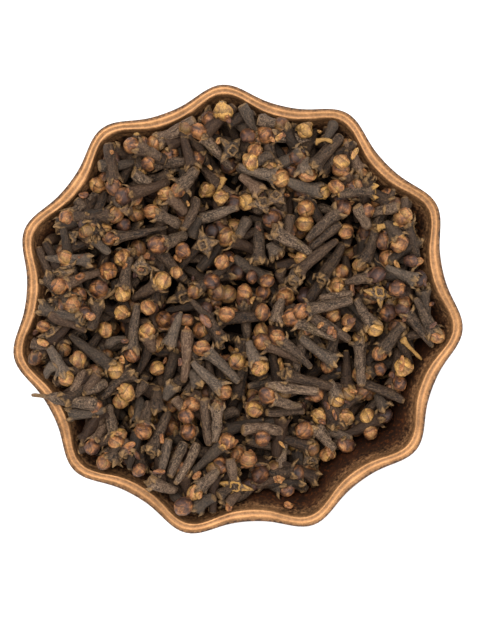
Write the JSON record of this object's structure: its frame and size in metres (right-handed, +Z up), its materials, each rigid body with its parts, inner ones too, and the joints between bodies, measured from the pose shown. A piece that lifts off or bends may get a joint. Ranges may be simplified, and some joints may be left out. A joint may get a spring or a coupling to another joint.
{
  "type": "bowl of whole cloves",
  "caption": "Small lobed copper bowl with a rolled rim, heaped with whole dried cloves, one clove lying across the rim.",
  "frame": {"origin": "middle of the flat underside of the bowl", "axes": "+Z up along the bowl's axis; +X to the right and +Y to the top of the picture, which looks straight down"},
  "size_m": [0.1163, 0.1161, 0.0493],
  "materials": {
    "copper": "antiqued copper with a rubbed rim",
    "clove": "dry and finely wrinkled"
  },
  "bodies": {
    "root": {"bowl": "copper", "cloves": "clove"}
  },
  "joints": []
}
